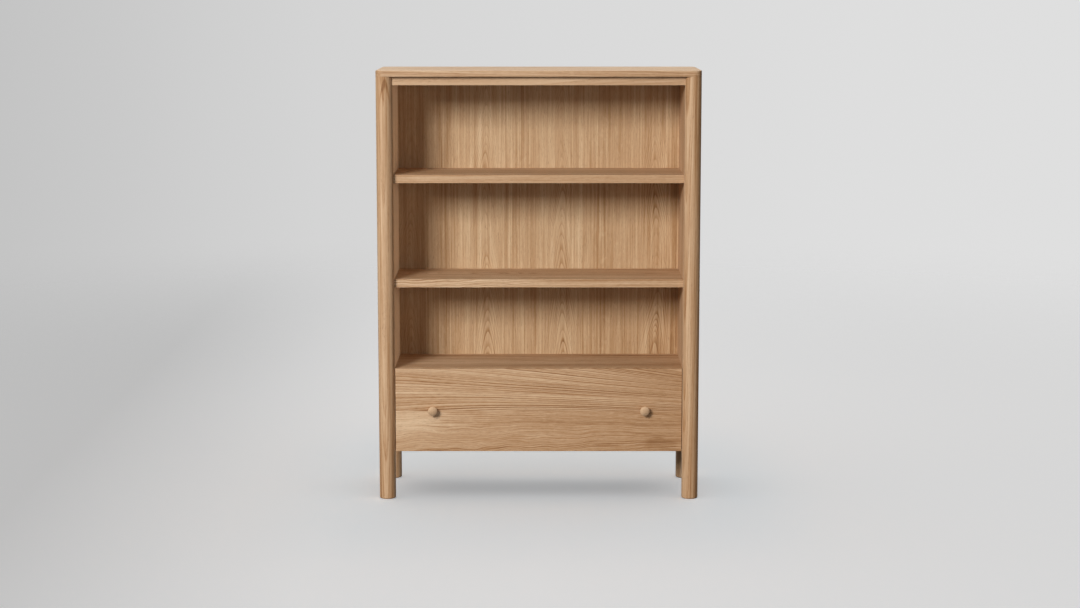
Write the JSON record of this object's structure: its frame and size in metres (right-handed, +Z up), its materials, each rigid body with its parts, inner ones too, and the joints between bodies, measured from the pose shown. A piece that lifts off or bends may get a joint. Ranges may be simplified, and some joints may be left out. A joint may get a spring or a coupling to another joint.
{
  "type": "bookcase",
  "caption": "Oak bookcase with round corner posts, open bays with fixed shelves and a wide full-extension drawer with turned knobs at the bottom.",
  "frame": {"origin": "On the floor, midway between the sides, and midway between the faces of the knobs and the rear of the rear posts.", "axes": "+Z is up, -Y is the front that faces the viewer and the way the drawer opens, +X is to the viewer's right."},
  "size_m": [0.9, 0.322, 1.2045],
  "materials": {
    "oak": "satin oiled oak",
    "oak_veneer": "satin oak veneer",
    "drawer_lining": "satin lacquered solid wood",
    "zinc_steel": "zinc-plated cold-rolled steel",
    "bright_steel": "polished",
    "screw_steel": "zinc-plated",
    "soft_bumper": "clear soft polyurethane pads"
  },
  "bodies": {
    "cabinet": {"top_panel": "oak", "back_panel": "oak_veneer", "top_front_rail": "oak", "upper_shelf": "oak", "middle_shelf": "oak", "drawer_bay_deck": "oak", "drawer_bay_floor": "oak", "front_left_post": "oak", "rear_left_post": "oak", "front_right_post": "oak", "rear_right_post": "oak", "left_side_panel": "oak", "right_side_panel": "oak", "drawer_stop_pads": "soft_bumper", "left_cabinet_slide": "zinc_steel", "right_cabinet_slide": "zinc_steel", "cabinet_slide_screws": "screw_steel"},
    "drawer": {"drawer_front": "oak", "drawer_box_front": "drawer_lining", "drawer_back": "drawer_lining", "drawer_left_side": "drawer_lining", "drawer_right_side": "drawer_lining", "drawer_bottom": "oak_veneer", "drawer_front_screws": "screw_steel", "drawer_bottom_screws": "screw_steel", "knob_screws": "screw_steel", "knobs": "oak", "left_drawer_slide": "zinc_steel", "right_drawer_slide": "zinc_steel", "drawer_slide_screws": "screw_steel"},
    "left_middle_slide": {"left_middle_slide": "zinc_steel"},
    "left_outer_ball_cage": {"left_outer_ball_cage": "bright_steel"},
    "left_inner_ball_cage": {"left_inner_ball_cage": "bright_steel"},
    "right_middle_slide": {"right_middle_slide": "zinc_steel"},
    "right_outer_ball_cage": {"right_outer_ball_cage": "bright_steel"},
    "right_inner_ball_cage": {"right_inner_ball_cage": "bright_steel"}
  },
  "joints": [
    {"name": "drawer_travel", "type": "slide", "parent": "cabinet", "child": "drawer", "axis": [0, -1, 0], "range_m": [0, 0.2]},
    {"name": "left_middle_slide_travel", "type": "slide", "parent": "cabinet", "child": "left_middle_slide", "axis": [0, -1, 0], "range_m": [0, 0.1]},
    {"name": "left_outer_ball_cage_travel", "type": "slide", "parent": "cabinet", "child": "left_outer_ball_cage", "axis": [0, -1, 0], "range_m": [0, 0.05]},
    {"name": "left_inner_ball_cage_travel", "type": "slide", "parent": "cabinet", "child": "left_inner_ball_cage", "axis": [0, -1, 0], "range_m": [0, 0.15]},
    {"name": "right_middle_slide_travel", "type": "slide", "parent": "cabinet", "child": "right_middle_slide", "axis": [0, -1, 0], "range_m": [0, 0.1]},
    {"name": "right_outer_ball_cage_travel", "type": "slide", "parent": "cabinet", "child": "right_outer_ball_cage", "axis": [0, -1, 0], "range_m": [0, 0.05]},
    {"name": "right_inner_ball_cage_travel", "type": "slide", "parent": "cabinet", "child": "right_inner_ball_cage", "axis": [0, -1, 0], "range_m": [0, 0.15]}
  ],
  "couplings": [
    {"joint": "left_middle_slide_travel", "follows": "drawer_travel", "ratio": 0.5},
    {"joint": "left_outer_ball_cage_travel", "follows": "drawer_travel", "ratio": 0.25},
    {"joint": "left_inner_ball_cage_travel", "follows": "drawer_travel", "ratio": 0.75},
    {"joint": "right_middle_slide_travel", "follows": "drawer_travel", "ratio": 0.5},
    {"joint": "right_outer_ball_cage_travel", "follows": "drawer_travel", "ratio": 0.25},
    {"joint": "right_inner_ball_cage_travel", "follows": "drawer_travel", "ratio": 0.75}
  ]
}
